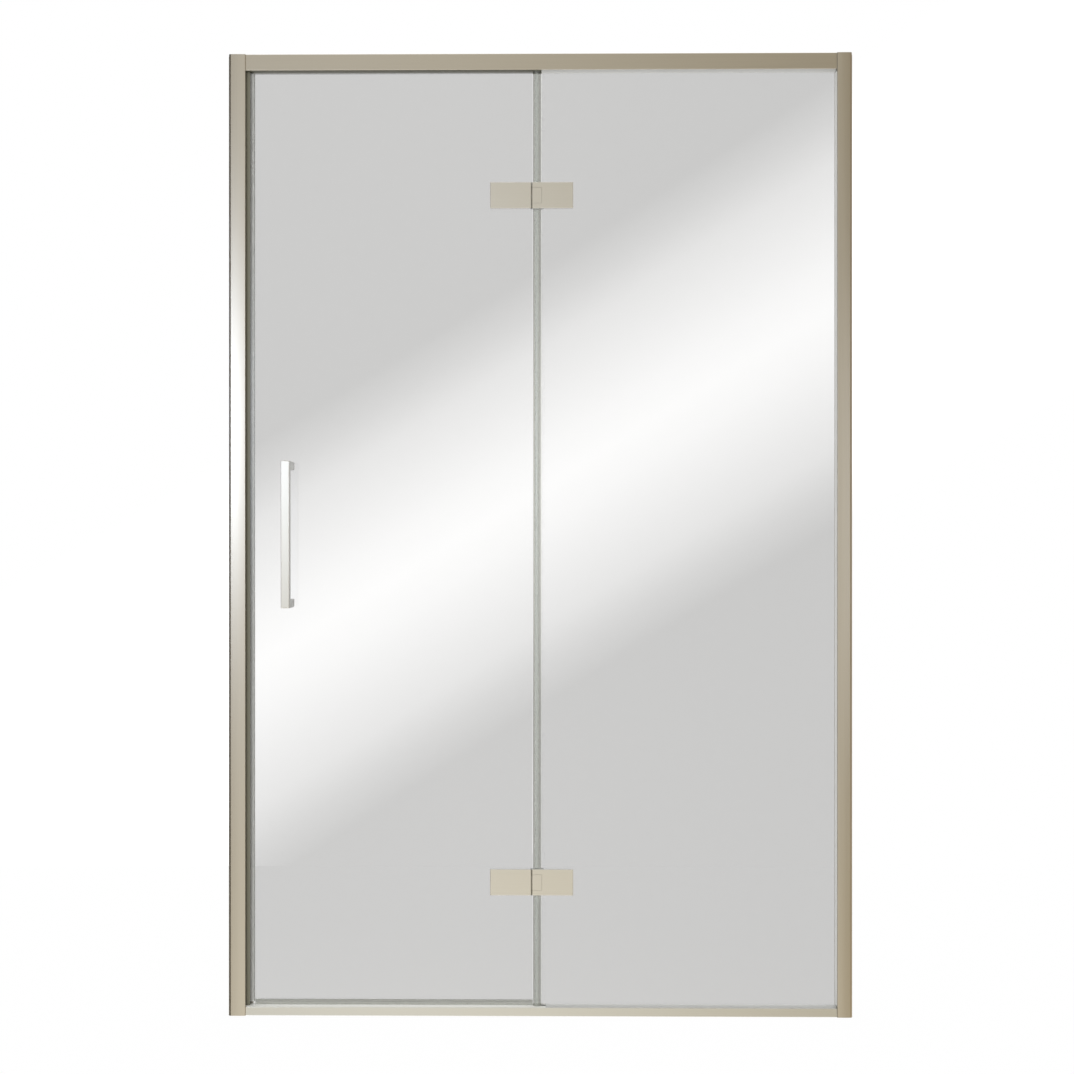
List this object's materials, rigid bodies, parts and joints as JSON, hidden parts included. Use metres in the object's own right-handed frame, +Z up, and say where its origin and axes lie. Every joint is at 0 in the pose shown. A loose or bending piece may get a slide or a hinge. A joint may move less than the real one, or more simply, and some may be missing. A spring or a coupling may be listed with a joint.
{
  "type": "hinged shower door",
  "caption": "Framed glass shower front with an outward-swinging door on flush clamp hinges beside a fixed panel, a square bar handle, magnet seal and low threshold.",
  "frame": {"origin": "on the shower tray, at mid width, in the middle of the glass thickness", "axes": "+X to the right seen from outside the shower, +Y into the shower, +Z up"},
  "size_m": [1.198, 0.0766, 1.85],
  "materials": {
    "frame_nickel": "warm satin nickel, anodised extrusion",
    "hinge_nickel": "warm satin nickel plate",
    "handle_nickel": "warm satin nickel plate",
    "clear_glass": "polished toughened glass with a faint grey tone",
    "translucent_pvc": "extruded translucent seal",
    "milky_pvc": "extruded milky bedding strip",
    "grey_pvc": "extruded grey carrier",
    "magnet_strip": "dark magnetic rubber",
    "clamp_gasket": "matt pale elastomer",
    "white_nylon": "natural nylon",
    "stainless_steel": "turned stainless steel",
    "plain_aluminium": "mill finish extrusion"
  },
  "bodies": {
    "frame": {"left_wall_channel": "plain_aluminium", "right_wall_channel": "plain_aluminium", "strike_post": "frame_nickel", "strike_post_cap": "frame_nickel", "strike_carrier": "grey_pvc", "strike_magnet": "magnet_strip", "glazing_post": "frame_nickel", "glazing_post_cap": "frame_nickel", "post_screws": "stainless_steel", "post_screw_caps": "frame_nickel", "corner_screws": "stainless_steel", "top_rail": "frame_nickel", "threshold_rail": "frame_nickel", "top_rail_infill": "grey_pvc", "threshold_infill": "milky_pvc", "fixed_glass": "clear_glass", "fixed_side_strips": "milky_pvc", "fixed_top_strips": "milky_pvc", "fixed_bottom_strips": "milky_pvc", "setting_blocks": "white_nylon", "hinge_side_seal": "translucent_pvc", "upper_fixed_leaf": "hinge_nickel", "upper_fixed_backplate": "hinge_nickel", "upper_fixed_gaskets": "clamp_gasket", "upper_fixed_screws": "stainless_steel", "upper_fixed_sleeves": "white_nylon", "upper_hinge_pin": "stainless_steel", "lower_fixed_leaf": "hinge_nickel", "lower_fixed_backplate": "hinge_nickel", "lower_fixed_gaskets": "clamp_gasket", "lower_fixed_screws": "stainless_steel", "lower_fixed_sleeves": "white_nylon", "lower_hinge_pin": "stainless_steel"},
    "door": {"door_glass": "clear_glass", "door_edge_seal": "translucent_pvc", "door_edge_magnet": "magnet_strip", "door_sweep": "translucent_pvc", "handle_bar": "handle_nickel", "handle_lower_post": "handle_nickel", "handle_upper_post": "handle_nickel", "handle_washers": "white_nylon", "handle_inner_caps": "handle_nickel", "handle_screws": "stainless_steel", "handle_sleeves": "white_nylon", "upper_door_leaf": "hinge_nickel", "upper_door_backplate": "hinge_nickel", "upper_door_gaskets": "clamp_gasket", "upper_door_screws": "stainless_steel", "upper_door_sleeves": "white_nylon", "upper_hinge_bushes": "white_nylon", "lower_door_leaf": "hinge_nickel", "lower_door_backplate": "hinge_nickel", "lower_door_gaskets": "clamp_gasket", "lower_door_screws": "stainless_steel", "lower_door_sleeves": "white_nylon", "lower_hinge_bushes": "white_nylon"}
  },
  "joints": [
    {"name": "door_swing", "type": "hinge", "parent": "frame", "child": "door", "pos_m": [-0.0054, 0, 0], "axis": [0, 0, 1], "range_deg": [0, 90]}
  ]
}
